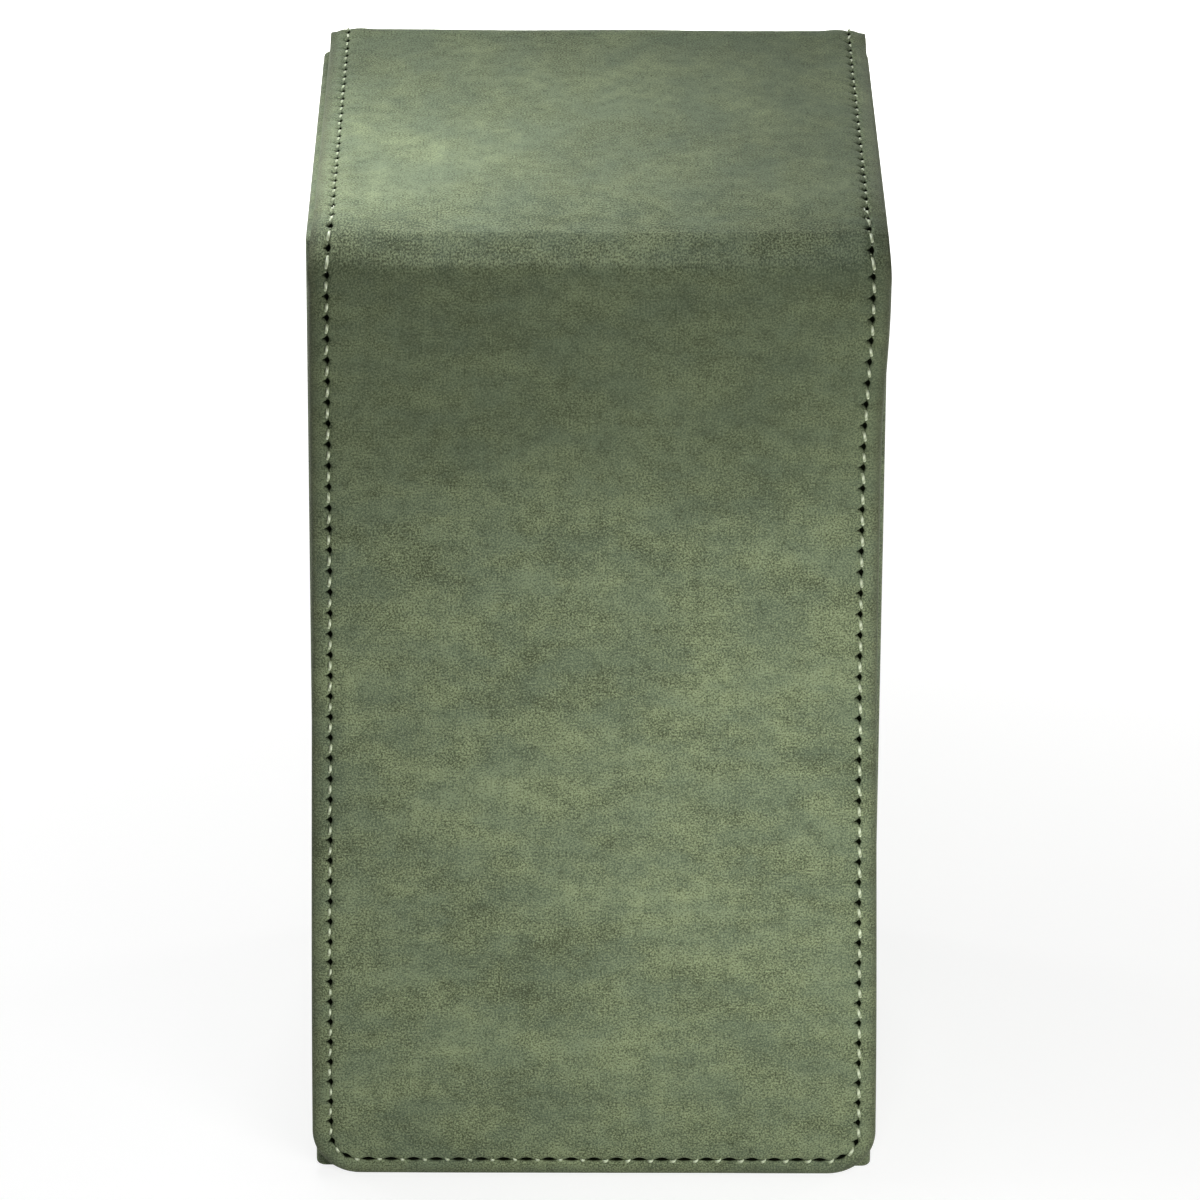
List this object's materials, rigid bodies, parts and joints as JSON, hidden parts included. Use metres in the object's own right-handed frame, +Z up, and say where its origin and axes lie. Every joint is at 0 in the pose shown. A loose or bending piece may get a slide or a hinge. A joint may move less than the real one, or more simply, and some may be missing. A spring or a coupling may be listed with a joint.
{
  "type": "card deck box",
  "caption": "Upright covered-board box for a deck of sleeved trading cards, with a stitched cover that folds over the top as a lid and down the whole front as a magnetic flap.",
  "frame": {"origin": "on the surface the box stands on, under the middle of the closed box", "axes": "+Z up; +X to the right across the front; -Y out of the front, where the flap hangs; the cover is fixed to the wall on the +Y side"},
  "size_m": [0.0714, 0.078, 0.1302],
  "materials": {
    "suede_leatherette": "olive green brushed suede-look leatherette",
    "grey_board": "bare grey bookbinding board",
    "microfibre_lining": "soft microfibre lining",
    "sewing_thread": "pale green twisted polyester thread",
    "magnet": "nickel plated magnet"
  },
  "bodies": {
    "box": {"box_leather": "suede_leatherette", "base_leather": "suede_leatherette", "front_board": "grey_board", "rear_board": "grey_board", "left_board": "grey_board", "right_board": "grey_board", "base_board": "grey_board", "front_lining": "microfibre_lining", "rear_lining": "microfibre_lining", "left_lining": "microfibre_lining", "right_lining": "microfibre_lining", "floor_lining": "microfibre_lining", "box_magnets": "magnet", "rear_panel_leather": "suede_leatherette", "rear_panel_board": "grey_board", "rear_panel_stitches": "sewing_thread", "rear_fold_leather": "suede_leatherette", "rear_fold_lining": "microfibre_lining", "rear_fold_stitches": "sewing_thread"},
    "lid": {"lid_leather": "suede_leatherette", "lid_board": "grey_board", "lid_lining": "microfibre_lining", "lid_stitches": "sewing_thread", "front_fold_leather": "suede_leatherette", "front_fold_lining": "microfibre_lining", "front_fold_stitches": "sewing_thread"},
    "flap": {"flap_leather": "suede_leatherette", "flap_board": "grey_board", "flap_lining": "microfibre_lining", "flap_magnets": "magnet", "flap_stitches": "sewing_thread"}
  },
  "joints": [
    {"name": "lid_fold", "type": "hinge", "parent": "box", "child": "lid", "pos_m": [0, 0.03745, 0.12865], "axis": [-1, 0, 0], "range_deg": [0, 175], "deforming": ["rear_fold_leather", "rear_fold_lining", "rear_fold_stitches"]},
    {"name": "flap_fold", "type": "hinge", "parent": "lid", "child": "flap", "pos_m": [0, -0.03745, 0.12865], "axis": [-1, 0, 0], "range_deg": [0, 170], "deforming": ["front_fold_leather", "front_fold_lining", "front_fold_stitches"]}
  ]
}
